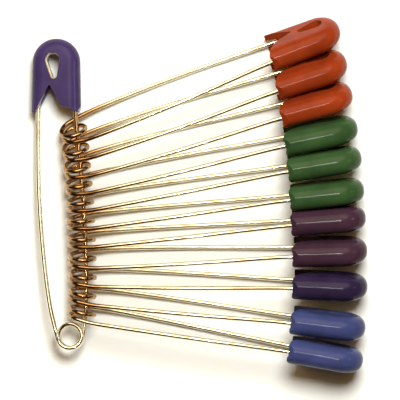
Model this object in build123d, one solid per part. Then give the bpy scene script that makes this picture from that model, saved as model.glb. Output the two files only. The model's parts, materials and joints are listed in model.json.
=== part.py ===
"""A bunch of twelve safety pins with coloured heads.

One pin, the carrier, lies on its side. The other eleven are threaded by their coils
on its fixed arm and stand on edge in a fan. Their arms are a little shorter than the
carrier's. Each pin is a steel wire with a coil at one end, a folded steel clasp at the
other, and a plastic head moulded over the clasp.

Every pin is drawn once in its own frame, in millimetres: the coil's centre is the
origin, X runs across the pin from the pin arm to the fixed arm, Y runs along it from
the coil to the head, and Z is the coil's axis. Copies are then laid out.
"""
from build123d import *

import math
import os

os.makedirs("parts", exist_ok=True)

# Wire and coil
wire = 0.8
coil_radius = 2.1
coil_gap = 0.42
fixed_lean = 8.0
pin_lean = 14.0

# Head, across and along the pin
pin_length = 54.0
head_length = 12.9
head_arch_width = 8.3
head_flare = 0.2
head_thickness = 4.2
head_round = 1.95
head_offset = 2.5
eye_width = 2.5
eye_length = 4.5
eye_foot_width = 1.2
eye_bridge = 1.12

# Clasp and the running slot for the pin arm
sheet = 0.3
slot_clearance = 0.12
bore_clearance = 0.04
head_wall = 0.45
eye_rim = 0.15
point_length = 2.6
point_width = 0.16
point_cover = 5.3
seat_depth = 6.8

# Bunch: the strung pins have shorter arms than the carrier
strung_pins = 11
strung_length = 51.7
coil_slide = 0.6
first_coil_clearance = 2.75
last_coil_along = 3.95
coil_rest_gap = 0.1
carrier_roll = 7.0
carrier_pitch = 1.2

# Yaw of each strung pin from straight across, and how far it leans from upright
yaws = (22.2, 19.0, 15.9, 12.4, 9.8, 6.8, 4.9, 2.2, -1.6, -6.4, -9.5)
leans = (29.0, 28.0, 22.0, 14.0, 9.0, 7.0, 7.0, 14.0, 12.0, 10.0, 8.0)

# Share of the shorter run that a bend in a wire arm takes up
bend_share = 0.45

# Share of the coil's rise by which a leaning coil sits lower on the carrier's arm
lean_drop_share = 0.56

# Places along each arm: share of the reach, share of the spread, share of the coil's rise
pin_arm_shares = (
    (0.131, 0.380, 1.10),
    (0.303, 0.642, 0.85),
    (0.480, 0.838, 0.57),
    (0.657, 0.964, 0.33),
    (0.833, 0.992, 0.13),
    (1.000, 1.000, 0.00),
)
fixed_arm_shares = (
    (0.110, -0.38, 1.10),
    (0.300, -0.45, 0.85),
    (0.590, -0.14, 0.48),
    (0.820, 0.45, 0.18),
    (1.000, 1.000, 0.00),
)

# Edge of the two legs: share of the head's half width, share of the notch's depth
mouth_shares = (
    (-1.30, -2.70),
    (-1.30, 0.243),
    (-0.92, 0.00),
    (-0.80, 0.00),
    (-0.70, 0.211),
    (-0.457, 0.649),
    (-0.250, 1.00),
    (-0.190, 1.00),
    (-0.060, 0.757),
    (0.100, 0.481),
    (0.207, 0.303),
    (0.880, 0.022),
    (1.300, 0.797),
    (1.300, -2.70),
)

# Worked out from the sizes above
coil_pitch = wire + coil_gap
coil_outer = coil_radius + wire / 2
coil_turn = 540.0 - fixed_lean - pin_lean
coil_rise = coil_pitch * coil_turn / 360.0
reach = pin_length - coil_outer
head_foot = reach - head_length
arch_radius = head_arch_width / 2
head_half = arch_radius + head_flare
slot = wire + 2 * slot_clearance
clasp_thickness = slot + 2 * sheet
arch_centre = Vector(-head_offset, reach - arch_radius)
eye_top = arch_centre + Vector(-head_wall, eye_foot_width / 2 - head_flare)
eye_low = eye_top.Y + eye_width / 2 - eye_length
notch_depth = eye_low - eye_bridge - head_foot
first_coil_along = head_foot - first_coil_clearance
mouth_height = head_foot + head_wall
fixed_seat_x = head_half - head_offset - head_wall - sheet - wire / 2
pocket_x = head_half + head_offset - head_wall - sheet - wire / 2
overrun = head_length
strung_cut = pin_length - strung_length


def coil_point(turned):
    """Centre of the coil's wire after so many degrees from the fixed arm."""
    angle = math.radians(-fixed_lean - turned)
    height = coil_rise * (turned / coil_turn - 1 / 2)
    return Vector(coil_radius * math.cos(angle), coil_radius * math.sin(angle), height)


def coil_heading(turned):
    """Direction of the coil's wire at that place, on from the fixed arm."""
    angle = math.radians(-fixed_lean - turned)
    lead = coil_pitch / math.tau
    heading = Vector(
        coil_radius * math.sin(angle), -coil_radius * math.cos(angle), lead
    )
    return heading.normalized()


def biarc(start, start_heading, end, end_heading):
    """Two tangent arcs from one place and heading to another."""
    chord = end - start
    both = start_heading + end_heading
    a = both.dot(both) - 4
    b = -2 * chord.dot(both)
    c = chord.dot(chord)
    reach_out = (-b - math.sqrt(b * b - 4 * a * c)) / (2 * a)
    first = start + start_heading * reach_out
    second = end - end_heading * reach_out
    joint = (first + second) * 0.5
    heading = (second - first).normalized()
    return [
        Edge.make_tangent_arc(start, start_heading, joint),
        Edge.make_tangent_arc(joint, heading, end),
    ]


def round_tube(path_edges, start, heading, radius=wire / 2):
    """Round wire swept along joined edges."""
    section = Plane(origin=start, z_dir=heading) * Circle(radius)
    return sweep(section, path=Wire(path_edges)).solid()


def make_coil():
    quarters = math.ceil(coil_turn / 90)
    turned = [coil_turn * i / quarters for i in range(quarters + 1)]
    edges = []
    for t0, t1 in zip(turned, turned[1:]):
        edges += biarc(coil_point(t0), coil_heading(t0), coil_point(t1), coil_heading(t1))
    return round_tube(edges, coil_point(0), coil_heading(0))


def coil_least_gap(steps=360):
    """Least clear distance between two turns of the coil, measured on points."""
    places = [coil_turn * i / steps for i in range(steps + 1)]
    spots = [(t, coil_point(t)) for t in places]
    far = [
        (p - q).length
        for i, (t, p) in enumerate(spots)
        for s, q in spots[i:]
        if s - t > 180
    ]
    return min(far) - wire


def bent_edges(points):
    """Straight runs through the points, with a tangent arc at each corner."""
    runs = [b - a for a, b in zip(points, points[1:])]
    edges = []
    radii = []
    start = points[0]
    for corner, before, after in zip(points[1:], runs, runs[1:]):
        cut = bend_share * min(before.length, after.length)
        into = before.normalized()
        out = after.normalized()
        half_turn = math.radians(into.get_angle(out)) / 2
        radius = cut / math.tan(half_turn)
        inward = (out - into).normalized()
        middle = corner + inward * (radius / math.cos(half_turn) - radius)
        first = corner - into * cut
        last = corner + out * cut
        edges.append(Edge.make_line(start, first))
        edges.append(Edge.make_three_point_arc(first, middle, last))
        radii.append(radius)
        start = last
    edges.append(Edge.make_line(start, points[-1]))
    return edges, radii


def pin_arm_points(cut=0):
    """Route of the pin arm, from the coil to its point; the cut shortens it."""
    mouth = mouth_height - cut
    start = coil_point(coil_turn)
    spread = pocket_x - coil_radius
    run = coil_heading(coil_turn) * coil_radius
    points = [start, start + run]
    for along, across, rise in pin_arm_shares:
        points.append(
            Vector(-coil_radius - spread * across, mouth * along, coil_rise / 2 * rise)
        )
    points.append(Vector(-pocket_x, mouth + point_cover))
    return points


def fixed_arm_points(cut=0):
    """Route of the fixed arm, from the coil to its seat in the clasp."""
    mouth = mouth_height - cut
    start = coil_point(0)
    spread = coil_radius - fixed_seat_x
    run = coil_heading(0) * -coil_radius
    points = [start, start + run]
    for along, across, rise in fixed_arm_shares:
        points.append(
            Vector(coil_radius - spread * across, mouth * along, -coil_rise / 2 * rise)
        )
    points.append(Vector(fixed_seat_x - bend_share * head_flare, mouth + seat_depth))
    return points


def make_pin_arm(cut):
    """The springy arm, ground to a point."""
    points = pin_arm_points(cut)
    heading = (points[-1] - points[-2]).normalized()
    shank_end = points[-1] - heading * point_length
    edges, radii = bent_edges(points[:-1] + [shank_end])
    shank = round_tube(edges, points[0], (points[1] - points[0]).normalized())
    base = Plane(origin=shank_end, z_dir=heading)
    tip = base * Cone(
        wire / 2,
        point_width / 2,
        point_length,
        align=(Align.CENTER, Align.CENTER, Align.MIN),
    )
    print("pin arm bend radii", [round(r, 1) for r in radii])
    return (shank + tip).solid()


def make_fixed_arm(cut):
    """The plain arm, which ends in the clasp."""
    points = fixed_arm_points(cut)
    edges, radii = bent_edges(points)
    print("fixed arm bend radii", [round(r, 1) for r in radii])
    return round_tube(edges, points[0], (points[1] - points[0]).normalized())


def arch_face(inset):
    """The head's outline with no mouth or eye, drawn in from its edge by the inset."""
    radius = arch_radius - inset
    flare = math.asin(head_flare / (arch_centre.Y - head_foot))
    right = arch_centre + Vector(radius * math.cos(flare), radius * math.sin(flare))
    left = arch_centre + Vector(-radius * math.cos(flare), radius * math.sin(flare))
    top = arch_centre + Vector(0, radius)
    fall = right.Y - head_foot + overrun / 2
    low_right = right + Vector(fall * math.tan(flare), -fall)
    low_left = left + Vector(-fall * math.tan(flare), -fall)
    edges = [
        Edge.make_line(low_left, left),
        Edge.make_three_point_arc(left, top, right),
        Edge.make_line(right, low_right),
        Edge.make_line(low_right, low_left),
    ]
    return make_face(Wire(edges))


def mouth_face(widen):
    """What is cut away between and below the legs."""
    points = [
        (head_half * across - head_offset, head_foot + notch_depth * along)
        for across, along in mouth_shares
    ]
    face = make_face(Polyline(*points, close=True))
    return offset(face, amount=widen, kind=Kind.INTERSECTION) if widen else face


def eye_face(inset):
    """The eye: a wide round top and a narrower round foot, joined by tangent sides."""
    top_radius = eye_width / 2
    foot_radius = eye_foot_width / 2
    foot = eye_top - Vector(-head_wall / 2, eye_length - top_radius - foot_radius)
    circles = [
        Edge.make_circle(top_radius - inset, Plane(origin=eye_top)),
        Edge.make_circle(foot_radius - inset, Plane(origin=foot)),
    ]
    return make_face(make_hull(circles))


def prism(face, thickness):
    return extrude(face, amount=thickness / 2, both=True)


def slot_room():
    """Space that the pin arm needs: its pocket in the hook leg and its way out sideways."""
    left = -head_offset - head_half - overrun
    pocket_top = mouth_height + point_cover + head_wall * 2
    pocket_right = -pocket_x + wire + slot_clearance
    notch_right = -head_offset
    neck = head_foot + notch_depth * mouth_shares[5][1]
    bottom = head_foot - overrun
    pocket = Pos(left, bottom) * Rectangle(
        pocket_right - left, pocket_top - bottom, align=(Align.MIN, Align.MIN)
    )
    gate = Pos(left, bottom) * Rectangle(
        notch_right - left, neck - bottom, align=(Align.MIN, Align.MIN)
    )
    return prism(pocket + gate, slot)


def arm_bore():
    """Bore in the clasp for the end of the fixed arm, along the arm's own last bend."""
    points = fixed_arm_points()
    bend, seat = bent_edges(points)[0][-2:]
    heading = (points[-2] - points[-3]).normalized()
    return round_tube([bend, seat], bend.position_at(0), heading, wire / 2 + bore_clearance)


def make_clasp():
    """Folded steel clasp: two cheeks, a pocket for the point and a bore for the fixed arm."""
    body = prism(arch_face(head_wall), clasp_thickness)
    body -= prism(mouth_face(head_wall), head_thickness)
    body -= prism(eye_face(eye_rim), head_thickness)
    body -= slot_room()
    body -= arm_bore()
    return body.solid()


def make_head():
    """Plastic head moulded over the clasp."""
    body = prism(arch_face(0), head_thickness)
    face_edges = [
        e
        for e in body.edges()
        if abs(abs(e.center().Z) - head_thickness / 2) < bore_clearance
        and e.center().Y > head_foot - overrun / 3
    ]
    body = fillet(face_edges, head_round)
    body -= prism(mouth_face(0), head_thickness)
    body -= prism(eye_face(0), head_thickness)
    body -= prism(arch_face(head_wall), clasp_thickness)
    body -= slot_room()
    return body.solid()


def pin_frame(centre, along, across):
    """Plane of a pin whose coil is at the centre, from its long and cross directions."""
    axis = across.cross(along).normalized()
    return Plane(origin=centre, x_dir=across.normalized(), z_dir=axis)


def turned_about(vector, axis, degrees):
    return vector.rotate(Axis((0, 0, 0), axis), degrees)


def lowest(frame, cut=0):
    """Height of a pin's lowest place, from its arm's route, its coil and its head's rim."""
    rim = head_thickness / 2 - head_round
    inner = head_half - head_round
    spots = [(p, wire / 2) for p in pin_arm_points(cut)]
    spots += [(coil_point(t), wire / 2) for t in range(0, round(coil_turn), 10)]
    for height in (head_foot + head_round, arch_centre.Y):
        for side in (-rim, rim):
            spots.append((Vector(-head_offset - inner, height - cut, side), head_round))
    return min(frame.from_local_coords(p).Z - r for p, r in spots)


def carrier_frame():
    across = turned_about(Vector(1, 0, 0), Vector(0, 1, 0), -carrier_roll)
    along = turned_about(Vector(0, 1, 0), Vector(1, 0, 0), -carrier_pitch)
    level = pin_frame(Vector(0, 0, 0), along, across)
    return pin_frame(Vector(0, 0, -lowest(level)), along, across)


def arm_place(frame, along):
    """Centre and direction of the carrier's fixed arm at a distance from its coil."""
    points = fixed_arm_points()
    for a, b in zip(points, points[1:]):
        if a.Y <= along <= b.Y:
            spot = a + (b - a) * ((along - a.Y) / (b.Y - a.Y))
            world = frame.from_local_coords(spot)
            ahead = frame.from_local_coords(spot + (b - a).normalized())
            return world, (ahead - world).normalized()
    raise ValueError("no arm there")


def strung_frame(spot, yaw, lean):
    """A strung pin: its coil rides on the arm and its pin arm and head rest on the floor."""
    level = turned_about(Vector(1, 0, 0), Vector(0, 0, 1), yaw)
    upright = turned_about(Vector(0, 0, 1), level, lean)
    drop = coil_rise * lean_drop_share * math.sin(math.radians(lean))
    room = coil_radius - wire - coil_rest_gap
    ride = math.sqrt(room**2 - coil_slide**2) - drop
    centre = spot + upright * ride - level * coil_slide
    axis = level.cross(upright)
    low, high = -pin_lean, pin_lean * 2
    while high - low > bore_clearance:
        middle = (low + high) / 2
        along = turned_about(level, axis, middle)
        across = turned_about(upright, axis, middle)
        if lowest(pin_frame(centre, along, across), strung_cut) < 0:
            low = middle
        else:
            high = middle
    along = turned_about(level, axis, high)
    return pin_frame(centre, along, turned_about(upright, axis, high))


def layout():
    """Frames of all the pins, and where each strung pin's arm crosses its coil."""
    carrier = carrier_frame()
    step = (first_coil_along - last_coil_along) / (strung_pins - 1)
    strung = []
    for i in range(strung_pins):
        spot, heading = arm_place(carrier, first_coil_along - step * i)
        strung.append((strung_frame(spot, yaws[i], leans[i]), spot, heading))
    return carrier, strung


def make_pins():
    """The five pieces of each length of pin, in the pin's own frame."""
    head, clasp, coil = make_head(), make_clasp(), make_coil()
    return {
        cut: {
            "head_cover": head.moved(Pos(0, -cut)),
            "clasp": clasp.moved(Pos(0, -cut)),
            "fixed_arm": make_fixed_arm(cut),
            "coil_spring": coil,
            "pin_arm": make_pin_arm(cut),
        }
        for cut in (0, strung_cut)
    }


def build():
    """All the pieces in place, on a floor at height zero and centred on the origin."""
    pieces = make_pins()
    carrier, strung = layout()
    frames = {"carrier": carrier}
    for i, (frame, _, _) in enumerate(strung):
        frames[f"pin_{i + 1:02d}"] = frame
    placed = {
        f"{pin}_{name}": solid.moved(frame.location)
        for pin, frame in frames.items()
        for name, solid in pieces[0 if pin == "carrier" else strung_cut].items()
    }
    boxes = [solid.bounding_box() for solid in placed.values()]
    low = [min(getattr(b.min, c) for b in boxes) for c in "XYZ"]
    high = [max(getattr(b.max, c) for b in boxes) for c in "XYZ"]
    shift = Vector(-(low[0] + high[0]) / 2, -(low[1] + high[1]) / 2, -low[2])
    print("size of the bunch, mm:", [round(h - l, 2) for l, h in zip(low, high)])
    return {name: s.moved(Location(shift)) for name, s in placed.items()}, frames, strung, shift


if __name__ == "__main__":
    placed, frames, strung, shift = build()
    print("coil least gap to itself, mm:", round(coil_least_gap(), 3))
    for name, solid in placed.items():
        solid.label = name
        export_step(solid, f"parts/{name}.step")
    for pin, frame in frames.items():
        centre = [round(c, 3) for c in frame.origin + shift]
        print(pin, "coil centre", centre, "axis", [round(c, 4) for c in frame.z_dir])
    for i, (_, spot, heading) in enumerate(strung):
        place = [round(c, 3) for c in spot + shift]
        print(f"pin_{i + 1:02d} crossing", place, "arm", [round(c, 4) for c in heading])
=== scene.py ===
# %% [markdown]
# # A linked bunch of twelve safety pins
#
# Coloured-head pins are often sold and stored like this: one pin, the carrier, lies
# on its side, and eleven more hang by their coils on its plain arm. The packed
# solids are loaded as a fixed frame, and every piece made here sits on them.

import json
import math

import bpy
from mathutils import Matrix, Vector


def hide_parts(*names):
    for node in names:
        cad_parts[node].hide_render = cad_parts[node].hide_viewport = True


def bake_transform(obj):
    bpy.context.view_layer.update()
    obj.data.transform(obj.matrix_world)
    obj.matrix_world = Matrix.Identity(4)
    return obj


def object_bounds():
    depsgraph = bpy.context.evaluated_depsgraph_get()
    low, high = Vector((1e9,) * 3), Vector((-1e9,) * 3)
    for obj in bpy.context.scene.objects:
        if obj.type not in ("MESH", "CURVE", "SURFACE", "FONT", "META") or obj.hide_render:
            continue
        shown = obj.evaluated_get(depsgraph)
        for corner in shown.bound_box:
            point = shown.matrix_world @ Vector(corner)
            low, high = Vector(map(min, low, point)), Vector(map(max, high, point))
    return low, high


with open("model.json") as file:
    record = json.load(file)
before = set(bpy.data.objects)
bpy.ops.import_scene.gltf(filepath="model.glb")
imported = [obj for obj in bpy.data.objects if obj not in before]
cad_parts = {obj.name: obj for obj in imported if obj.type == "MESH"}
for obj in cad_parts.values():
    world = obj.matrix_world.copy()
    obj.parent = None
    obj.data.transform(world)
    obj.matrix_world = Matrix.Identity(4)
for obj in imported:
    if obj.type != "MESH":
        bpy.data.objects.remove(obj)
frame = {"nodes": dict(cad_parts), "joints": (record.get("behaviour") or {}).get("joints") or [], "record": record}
cad_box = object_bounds()
nodes = frame["nodes"]
joints = {joint["name"]: joint for joint in frame["joints"]}
print("solids loaded:", len(nodes))

# %% [markdown]
# The pins are all alike, so each piece is made once in the pin's own frame and
# copied. That frame starts at the coil's centre: X runs across the pin from the
# springy arm to the plain arm, Y from the coil to the head, and Z is the coil's axis.
# A pin's opening hinge gives the centre and Z. The direction of Y comes from where
# the head's solid lies.

# %% Names and places of the pins
MM = 0.001
CARRIER = "carrier"
STRUNG_COUNT = 11
STRUNG = [f"pin_{number:02d}" for number in range(1, STRUNG_COUNT + 1)]
PINS = [CARRIER] + STRUNG
CARRIER_ROLL = 7.0  # degrees


def head_middle(pin):
    """Average place of the head's points."""
    mesh = nodes[pin + "_head_cover"].data
    return sum((v.co for v in mesh.vertices), Vector()) / len(mesh.vertices)


def opening(pin):
    """Coil centre and coil axis of a pin."""
    joint = joints[pin + "_opening"]
    return Vector(joint["pos_m"]), Vector(joint["axis"]).normalized()


def square_frame(centre, across, axis):
    """Matrix that takes the pin's own frame to its place."""
    across = (across - axis * across.dot(axis)).normalized()
    along = axis.cross(across)
    turn = Matrix((across, along, axis)).transposed().to_4x4()
    return Matrix.Translation(centre) @ turn


roll = math.radians(CARRIER_ROLL)
carrier_centre, carrier_axis = opening(CARRIER)
carrier_frame = square_frame(
    carrier_centre, Vector((math.cos(roll), 0, math.sin(roll))), carrier_axis
)
middle = carrier_frame.inverted() @ head_middle(CARRIER)
head_bearing = math.atan2(middle.y, middle.x)

places = {CARRIER: carrier_frame}
for pin in STRUNG:
    centre, axis = opening(pin)
    toward = head_middle(pin) - centre
    toward = (toward - axis * toward.dot(axis)).normalized()
    across = Matrix.Rotation(-head_bearing, 3, axis) @ toward
    places[pin] = square_frame(centre, across, axis)
print("coil centre of the carrier, mm:", [round(c / MM, 2) for c in carrier_centre])

# %% [markdown]
# ## The wire
#
# The real wire is one piece: a plain arm, one and a half turns of coil and a springy
# arm that is ground to a point. Here it is one smooth curve through the same places as
# the solids, given thickness by its bevel and then made a mesh. A curve suits wire,
# because its section stays round through every bend.

# %% Sizes of the wire
WIRE = 0.8 * MM
COIL_RADIUS = 2.1 * MM
COIL_PITCH = 1.22 * MM
COIL_TURNS = 1.5
FIXED_LEAN = 8.0  # degrees by which the plain arm shortens the coil
PIN_LEAN = 14.0  # degrees by which the springy arm does
MOUTH = 39.05 * MM  # from the coil's centre to the head's foot
FIXED_SEAT = 0.7 * MM  # across, to the plain arm in the head
SEAT_DRIFT = 0.09 * MM
SEAT_DEPTH = 6.8 * MM
POCKET = 5.7 * MM  # across, to the springy arm in the head
POINT_COVER = 5.3 * MM
POINT_LENGTH = 2.6 * MM
POINT_SHARE = 0.2
STRUNG_CUT = 2.3 * MM
TURN = 360.0 * COIL_TURNS - FIXED_LEAN - PIN_LEAN
RISE = COIL_PITCH * TURN / 360.0
print("coil turns:", round(TURN / 360.0, 2), "rise, mm:", round(RISE / MM, 2))

# %% [markdown]
# Each arm is given by a few corners, in shares of its own reach, spread and rise, so
# one list serves the long wire of the carrier and the short one of the other pins. The
# coil's corners come from the formula of a helix.

# %% Route of the wire
# Share of the reach, share of the spread, share of the coil's rise
PIN_ARM = (
    (0.131, 0.380, 1.10),
    (0.303, 0.642, 0.85),
    (0.480, 0.838, 0.57),
    (0.657, 0.964, 0.33),
    (0.833, 0.992, 0.13),
    (1.000, 1.000, 0.00),
)
FIXED_ARM = (
    (0.110, -0.38, 1.10),
    (0.300, -0.45, 0.85),
    (0.590, -0.14, 0.48),
    (0.820, 0.45, 0.18),
    (1.000, 1.000, 0.00),
)
COIL_STEP = 15.0


def coil_point(turned):
    angle = math.radians(-FIXED_LEAN - turned)
    height = RISE * (turned / TURN - 1 / 2)
    return Vector((COIL_RADIUS * math.cos(angle), COIL_RADIUS * math.sin(angle), height))


def coil_run(turned):
    """Short step along the coil's wire, on from the plain arm."""
    angle = math.radians(-FIXED_LEAN - turned)
    lead = COIL_PITCH / math.tau
    step = Vector((COIL_RADIUS * math.sin(angle), -COIL_RADIUS * math.cos(angle), lead))
    return step.normalized() * COIL_RADIUS


def arm_points(shares, side, seat, mouth):
    """Corners of one arm; side is 1 for the plain arm and -1 for the springy one."""
    spread = seat - COIL_RADIUS
    return [
        Vector((side * (COIL_RADIUS + spread * a), mouth * y, -side * RISE / 2 * z))
        for y, a, z in shares
    ]


def wire_route(mouth):
    """Control points of the whole wire with the share of full thickness at each."""
    seat = Vector((FIXED_SEAT - SEAT_DRIFT, mouth + SEAT_DEPTH, 0))
    plain = [seat] + arm_points(FIXED_ARM, 1, FIXED_SEAT, mouth)[::-1]
    plain += [coil_point(0) - coil_run(0)]
    count = round(TURN / COIL_STEP)
    coil = [coil_point(TURN * i / count) for i in range(count + 1)]
    springy = [coil_point(TURN) + coil_run(TURN)]
    springy += arm_points(PIN_ARM, -1, POCKET, mouth)
    point = Vector((-POCKET, mouth + POINT_COVER, 0))
    shank = point - Vector((0, POINT_LENGTH, 0))
    near = shank - Vector((0, WIRE / 2, 0))
    route = [(p, 1.0) for p in plain + coil + springy + [near, shank]]
    return route + [(point, POINT_SHARE)]


routes = {"long": wire_route(MOUTH), "short": wire_route(MOUTH - STRUNG_CUT)}
print("control points of a wire:", len(routes["long"]))

# %% Helpers for making pieces
def deselect():
    bpy.ops.object.select_all(action="DESELECT")


def make_active(piece):
    deselect()
    piece.select_set(True)
    bpy.context.view_layer.objects.active = piece


def smooth(piece, degrees):
    make_active(piece)
    bpy.ops.object.shade_smooth_by_angle(angle=math.radians(degrees))


def as_mesh(piece):
    make_active(piece)
    bpy.ops.object.convert(target="MESH")
    return bpy.context.object


# %% [markdown]
# The curve gets its round section and its tapered point here, and becomes a mesh.

# %% Make the two wires
BEVEL_STEPS = 6
SMOOTH_STEPS = 8
SMOOTH_ANGLE = 60


def make_wire(route):
    curve = bpy.data.curves.new("wire", "CURVE")
    curve.dimensions = "3D"
    spline = curve.splines.new("NURBS")
    spline.points.add(len(route) - 1)
    for spot, (place, share) in zip(spline.points, route):
        spot.co = (*place, 1.0)
        spot.radius = share
    spline.order_u = 3
    spline.use_endpoint_u = True
    spline.resolution_u = SMOOTH_STEPS
    curve.bevel_depth = WIRE / 2
    curve.bevel_resolution = BEVEL_STEPS
    curve.use_fill_caps = True
    wire = bpy.data.objects.new("wire", curve)
    bpy.context.scene.collection.objects.link(wire)
    return as_mesh(wire)


models = {size: make_wire(route) for size, route in routes.items()}
for wire in models.values():
    smooth(wire, SMOOTH_ANGLE)
    print("faces of one wire:", len(wire.data.polygons))

# %% [markdown]
# Each pin gets its own copy of the wire, set in the pin's place, and the solids of its
# plain arm, coil and springy arm are hidden. On the real pin the coil twists between
# the head and the springy arm when the pin opens.


def give_wire(pin):
    model = models["long" if pin == CARRIER else "short"]
    wire = bpy.data.objects.new(pin + "_wire", model.data.copy())
    bpy.context.scene.collection.objects.link(wire)
    wire.data.transform(places[pin])
    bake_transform(wire)
    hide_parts(pin + "_fixed_arm", pin + "_coil_spring", pin + "_pin_arm")
    return wire


wires = {pin: give_wire(pin) for pin in PINS}
for model in models.values():
    bpy.data.objects.remove(model)
print("wires:", len(wires))

# %% [markdown]
# ## Finishes
#
# Three effects are node groups: fine wear, which spots and dulls a surface, small bumps,
# and a painted shade, a brown mask over the row of coils, where the coils shade each
# other. Colour that is the same all over stays on the shader's own socket.

# %% Shared effects
MIX_A, MIX_B, MIX_OUT = 6, 7, 2  # colour sockets of a mix node
MOTTLE_DETAIL = 4.0
GRAIN_DETAIL = 3.0


def linear(red, green, blue):
    """Colour as seen on a screen, from 0 to 255, as the shader needs it."""

    def one(value):
        share = value / 255
        return share / 12.92 if share <= 0.04045 else ((share + 0.055) / 1.055) ** 2.4

    return (one(red), one(green), one(blue), 1.0)


def link(tree, a, out, b, into):
    tree.links.new(a.outputs[out], b.inputs[into])


def make_mottle():
    """Group that mixes two colours in soft spots and gives the spots as a mask."""
    group = bpy.data.node_groups.new("mottle", "ShaderNodeTree")
    for name, kind in (("Scale", "Float"), ("Low", "Float"), ("High", "Float")):
        group.interface.new_socket(name, in_out="INPUT", socket_type="NodeSocket" + kind)
    for name in ("Colour A", "Colour B"):
        group.interface.new_socket(name, in_out="INPUT", socket_type="NodeSocketColor")
    group.interface.new_socket("Colour", in_out="OUTPUT", socket_type="NodeSocketColor")
    group.interface.new_socket("Mask", in_out="OUTPUT", socket_type="NodeSocketFloat")
    start = group.nodes.new("NodeGroupInput")
    end = group.nodes.new("NodeGroupOutput")
    place = group.nodes.new("ShaderNodeTexCoord")
    noise = group.nodes.new("ShaderNodeTexNoise")
    noise.inputs["Detail"].default_value = MOTTLE_DETAIL
    spread = group.nodes.new("ShaderNodeMapRange")
    mix = group.nodes.new("ShaderNodeMix")
    mix.data_type = "RGBA"
    link(group, place, "Object", noise, "Vector")
    link(group, start, "Scale", noise, "Scale")
    link(group, noise, "Fac", spread, "Value")
    link(group, start, "Low", spread, "From Min")
    link(group, start, "High", spread, "From Max")
    link(group, spread, "Result", mix, "Factor")
    link(group, start, "Colour A", mix, MIX_A)
    link(group, start, "Colour B", mix, MIX_B)
    link(group, mix, MIX_OUT, end, "Colour")
    link(group, spread, "Result", end, "Mask")
    return group


def make_grain():
    """Group that gives a normal with small bumps."""
    group = bpy.data.node_groups.new("grain", "ShaderNodeTree")
    for name in ("Scale", "Strength", "Depth"):
        group.interface.new_socket(name, in_out="INPUT", socket_type="NodeSocketFloat")
    group.interface.new_socket("Normal", in_out="OUTPUT", socket_type="NodeSocketVector")
    start = group.nodes.new("NodeGroupInput")
    end = group.nodes.new("NodeGroupOutput")
    place = group.nodes.new("ShaderNodeTexCoord")
    noise = group.nodes.new("ShaderNodeTexNoise")
    noise.inputs["Detail"].default_value = GRAIN_DETAIL
    bump = group.nodes.new("ShaderNodeBump")
    link(group, place, "Object", noise, "Vector")
    link(group, start, "Scale", noise, "Scale")
    link(group, noise, "Fac", bump, "Height")
    link(group, start, "Strength", bump, "Strength")
    link(group, start, "Depth", bump, "Distance")
    link(group, bump, "Normal", end, "Normal")
    return group


# Axis, and the distances from the carrier's coil, in mm, where the painted shade is nil and full
PAINTED_SHADE_EDGES = (("X", -3.2, -2.0), ("X", 9.0, 3.5), ("Y", 2.4, 3.6), ("Z", 8.0, 3.5))


def make_painted_shade():
    """Group that gives the mask of a painted shade over the row of coils on the carrier's arm."""
    group = bpy.data.node_groups.new("painted_shade", "ShaderNodeTree")
    group.interface.new_socket("Mask", in_out="OUTPUT", socket_type="NodeSocketFloat")
    end = group.nodes.new("NodeGroupOutput")
    place = group.nodes.new("ShaderNodeTexCoord")
    split = group.nodes.new("ShaderNodeSeparateXYZ")
    link(group, place, "Object", split, "Vector")
    mask = None
    for axis, nil, full in PAINTED_SHADE_EDGES:
        origin = carrier_centre["XYZ".index(axis)]
        edge = group.nodes.new("ShaderNodeMapRange")
        edge.inputs["From Min"].default_value = origin + nil * MM
        edge.inputs["From Max"].default_value = origin + full * MM
        link(group, split, axis, edge, "Value")
        if mask is not None:
            link(group, mask, "Result", edge, "To Max")
        mask = edge
    link(group, mask, "Result", end, "Mask")
    return group


mottle = make_mottle()
grain = make_grain()
painted_shade = make_painted_shade()
print("effects:", mottle.name, grain.name, painted_shade.name)

# %% Helpers for a material
def new_material(name):
    material = bpy.data.materials.new(name)
    material.use_nodes = True
    return material, material.node_tree, material.node_tree.nodes["Principled BSDF"]


def add_group(tree, group, **values):
    node = tree.nodes.new("ShaderNodeGroup")
    node.node_tree = group
    for name, value in values.items():
        node.inputs[name.replace("_", " ")].default_value = value
    return node


def ranged(tree, node, out, low, high):
    """Map a mask from 0 and 1 to two other values."""
    spread = tree.nodes.new("ShaderNodeMapRange")
    spread.inputs["To Min"].default_value = low
    spread.inputs["To Max"].default_value = high
    link(tree, node, out, spread, "Value")
    return spread


# %% [markdown]
# The heads are moulded in glossy plastic that is coloured right through. Moulded
# plastic is never quite even: its colour drifts a little, and its surface has a faint
# ripple that breaks up the edge of each highlight.

# %% Head plastics
HEAD_DRIFT = {"Scale": 220.0, "Low": 0.35, "High": 0.65}
HEAD_ROUGHNESS = (0.13, 0.2)
HEAD_RIPPLE = {"Scale": 900.0, "Strength": 0.06, "Depth": 0.00008}
HEAD_SPECULAR = 0.14
# Light and dark colour of each plastic
HEAD_COLOURS = {
    "violet_plastic": (linear(68, 52, 92), linear(58, 44, 80)),
    "red_plastic": (linear(148, 54, 20), linear(130, 45, 16)),
    "green_plastic": (linear(56, 82, 44), linear(46, 69, 37)),
    "plum_plastic": (linear(66, 42, 54), linear(56, 35, 46)),
    "indigo_plastic": (linear(48, 35, 62), linear(40, 29, 52)),
    "blue_plastic": (linear(64, 70, 114), linear(54, 60, 98)),
}


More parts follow.
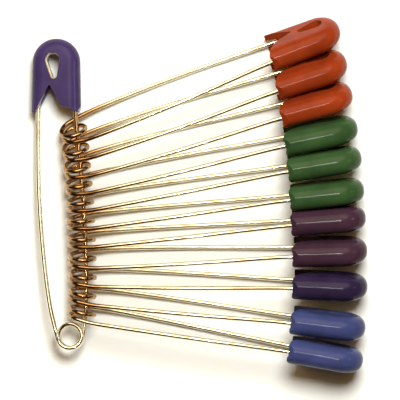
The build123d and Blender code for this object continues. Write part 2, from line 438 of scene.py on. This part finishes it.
def head_plastic(slot, light, dark):
    material, tree, shader = new_material("moulded_" + slot)
    drift = add_group(tree, mottle, Colour_A=light, Colour_B=dark, **HEAD_DRIFT)
    link(tree, drift, "Colour", shader, "Base Color")
    dull = ranged(tree, drift, "Mask", *HEAD_ROUGHNESS)
    link(tree, dull, "Result", shader, "Roughness")
    ripple = add_group(tree, grain, **HEAD_RIPPLE)
    link(tree, ripple, "Normal", shader, "Normal")
    shader.inputs["Specular IOR Level"].default_value = HEAD_SPECULAR
    return material


plastics = {
    slot: head_plastic(slot, *colours) for slot, colours in HEAD_COLOURS.items()
}
print("plastics:", ", ".join(material.name for material in plastics.values()))

# %% [markdown]
# The wire is steel with a bright, slightly warm plating. Handling leaves it with
# darker spots, the row of coils gets a brown painted shade, and all of it is a little rough.

# %% Steels
# Brown painted shade for the row of coils, where the coils shade each other
PAINTED_SHADE_COLOUR = linear(186, 148, 102)
STEEL_SPOTS = {"Scale": 420.0, "Low": 0.45, "High": 0.85}
STEEL_GRAIN = {"Scale": 2600.0, "Strength": 0.15, "Depth": 0.00003}
SPOT_DULLNESS = 0.15
# Light and dark colour, and roughness
WIRE_FINISH = (linear(250, 244, 222), linear(222, 206, 168), 0.14)
CLASP_FINISH = (linear(226, 218, 196), linear(168, 150, 112), 0.28)


def plated_steel(name, light, dark, rough):
    material, tree, shader = new_material(name)
    spots = add_group(tree, mottle, Colour_A=light, Colour_B=dark, **STEEL_SPOTS)
    # Mixes the brown painted shade over the spots on the row of coils
    spots_and_painted_shade = tree.nodes.new("ShaderNodeMix")
    spots_and_painted_shade.data_type = "RGBA"
    spots_and_painted_shade.inputs[MIX_B].default_value = PAINTED_SHADE_COLOUR
    link(tree, add_group(tree, painted_shade), "Mask", spots_and_painted_shade, "Factor")
    link(tree, spots, "Colour", spots_and_painted_shade, MIX_A)
    link(tree, spots_and_painted_shade, MIX_OUT, shader, "Base Color")
    dull = ranged(tree, spots, "Mask", rough, rough + SPOT_DULLNESS)
    link(tree, dull, "Result", shader, "Roughness")
    fine = add_group(tree, grain, **STEEL_GRAIN)
    link(tree, fine, "Normal", shader, "Normal")
    shader.inputs["Metallic"].default_value = 1.0
    return material


wire_steel = plated_steel("plated_wire", *WIRE_FINISH)
clasp_steel = plated_steel("plated_clasp", *CLASP_FINISH)
print("steels:", wire_steel.name, clasp_steel.name)

# %% [markdown]
# The record names the material slot of every solid, and the slot tells the finish.

# %% Give each piece its finish
slot_of = {part["node"]: part["material_slot"] for part in frame["record"]["subparts"]}
finish = dict(plastics, clasp_steel=clasp_steel, wire_steel=wire_steel)


def dress(piece, material):
    piece.data.materials.clear()
    piece.data.materials.append(material)


for node, slot in slot_of.items():
    dress(nodes[node], finish[slot])
for wire in wires.values():
    dress(wire, wire_steel)
print("pieces dressed:", len(slot_of) + len(wires))

# %% [markdown]
# ## Stage, light and camera
#
# The bunch lies on a white surface and is seen from straight above. A soft light from
# the north gives each piece a shadow to its south. The others show only in reflections:
# a wide one fills the upper side of each wire, and two small ones, overhead and to the
# right, give the bright lines along the heads. The plain view transform keeps the
# colours as strong as they are on the real plastic.

# %% Floor
FLOOR_SIZE = 3.0
FLOOR_ROUGHNESS = 0.8
FLOOR_DRIFT = {"Scale": 30.0, "Low": 0.3, "High": 0.7}
FLOOR_COLOURS = (linear(249, 247, 240), linear(247, 244, 236))

bpy.context.scene.view_settings.view_transform = "Standard"
deselect()
bpy.ops.mesh.primitive_plane_add(size=FLOOR_SIZE)
floor = bpy.context.object
floor.name = "floor"
material, tree, shader = new_material("floor_paper")
light, dark = FLOOR_COLOURS
faint = add_group(tree, mottle, Colour_A=light, Colour_B=dark, **FLOOR_DRIFT)
link(tree, faint, "Colour", shader, "Base Color")
shader.inputs["Roughness"].default_value = FLOOR_ROUGHNESS
dress(floor, material)
print("floor:", floor.name)

# %% Lights
# Name, place, size, power and colour
LIGHTS = (
    ("soft", (0.05, 0.21, 0.47), 0.24, 3.9, (0.89, 0.96, 1.0)),
    ("sheen", (0.0, 0.28, 0.5), 0.62, 1.6, (1.0, 0.95, 0.82)),
    ("spark", (-0.03, -0.03, 0.6), 0.035, 0.32, (1.0, 1.0, 1.0)),
    ("right", (0.42, 0.05, 0.3), 0.08, 0.12, (0.85, 0.92, 1.0)),
)
heart = sum((Vector(c) for c in cad_box), Vector()) / 2


def add_light(name, place, size, power, colour):
    """Round light that looks at the middle of the bunch."""
    light = bpy.data.lights.new(name, "AREA")
    light.shape = "DISK"
    light.size = size
    light.energy = power
    light.color = colour
    lamp = bpy.data.objects.new(name, light)
    bpy.context.scene.collection.objects.link(lamp)
    lamp.location = place
    lamp.rotation_euler = (heart - Vector(place)).to_track_quat("-Z", "Y").to_euler()
    return lamp


soft, *reflected = [add_light(*row) for row in LIGHTS]
soft.visible_glossy = False
for lamp in reflected:
    lamp.visible_diffuse = False
print("lights:", ", ".join(lamp.name for lamp in [soft, *reflected]))

# %% [markdown]
# Bright metal shows what is around it more than it shows its own colour. The sky is a
# dark brown with one warm bright patch to the north, so each wire gets dark edges, as
# it would in a dim room with a window.

# %% Sky
SKY_AIM = Vector((0.0, 0.45, 0.9)).normalized()
SKY_STRENGTH = 1.6
# Closeness to the aim, and the colour there
SKY_STOPS = (
    (0.82, linear(34, 22, 9)),
    (1.0, linear(255, 208, 126)),
)

world = bpy.context.scene.world or bpy.data.worlds.new("sky")
bpy.context.scene.world = world
world.use_nodes = True
tree = world.node_tree
sky = tree.nodes["Background"]
sky.inputs["Strength"].default_value = SKY_STRENGTH
toward = tree.nodes.new("ShaderNodeTexCoord")
dot = tree.nodes.new("ShaderNodeVectorMath")
dot.operation = "DOT_PRODUCT"
dot.inputs[1].default_value = SKY_AIM
fade = tree.nodes.new("ShaderNodeValToRGB")
for stop, (place, colour) in zip(fade.color_ramp.elements, SKY_STOPS):
    stop.position = place
    stop.color = colour
link(tree, toward, "Generated", dot, 0)
link(tree, dot, "Value", fade, "Fac")
link(tree, fade, "Color", sky, "Color")
print("sky strength:", SKY_STRENGTH)

# %% [markdown]
# The camera looks straight down. Its place and width come from the photo: the pixel at
# which the carrier's coil shows, and the pixels that a millimetre takes.

# %% Camera
HEIGHT = 1.0
SCALE = 5.78  # pixels in a millimetre
PHOTO = 400  # pixels from side to side
COIL_PIXEL = (70, 336)
SENSOR = 36.0
CLIP_START = 0.01
view_width = PHOTO / SCALE * MM
across = carrier_centre.x + (PHOTO / 2 - COIL_PIXEL[0]) / SCALE * MM
up = carrier_centre.y + (COIL_PIXEL[1] - PHOTO / 2) / SCALE * MM
camera_data = bpy.data.cameras.new("camera")
camera_data.sensor_width = SENSOR
camera_data.lens = SENSOR * (HEIGHT - carrier_centre.z) / view_width
camera_data.clip_start = CLIP_START
camera = bpy.data.objects.new("camera", camera_data)
bpy.context.scene.collection.objects.link(camera)
camera.location = (across, up, HEIGHT)
bpy.context.scene.camera = camera
print("view width, mm:", round(view_width / MM, 1))
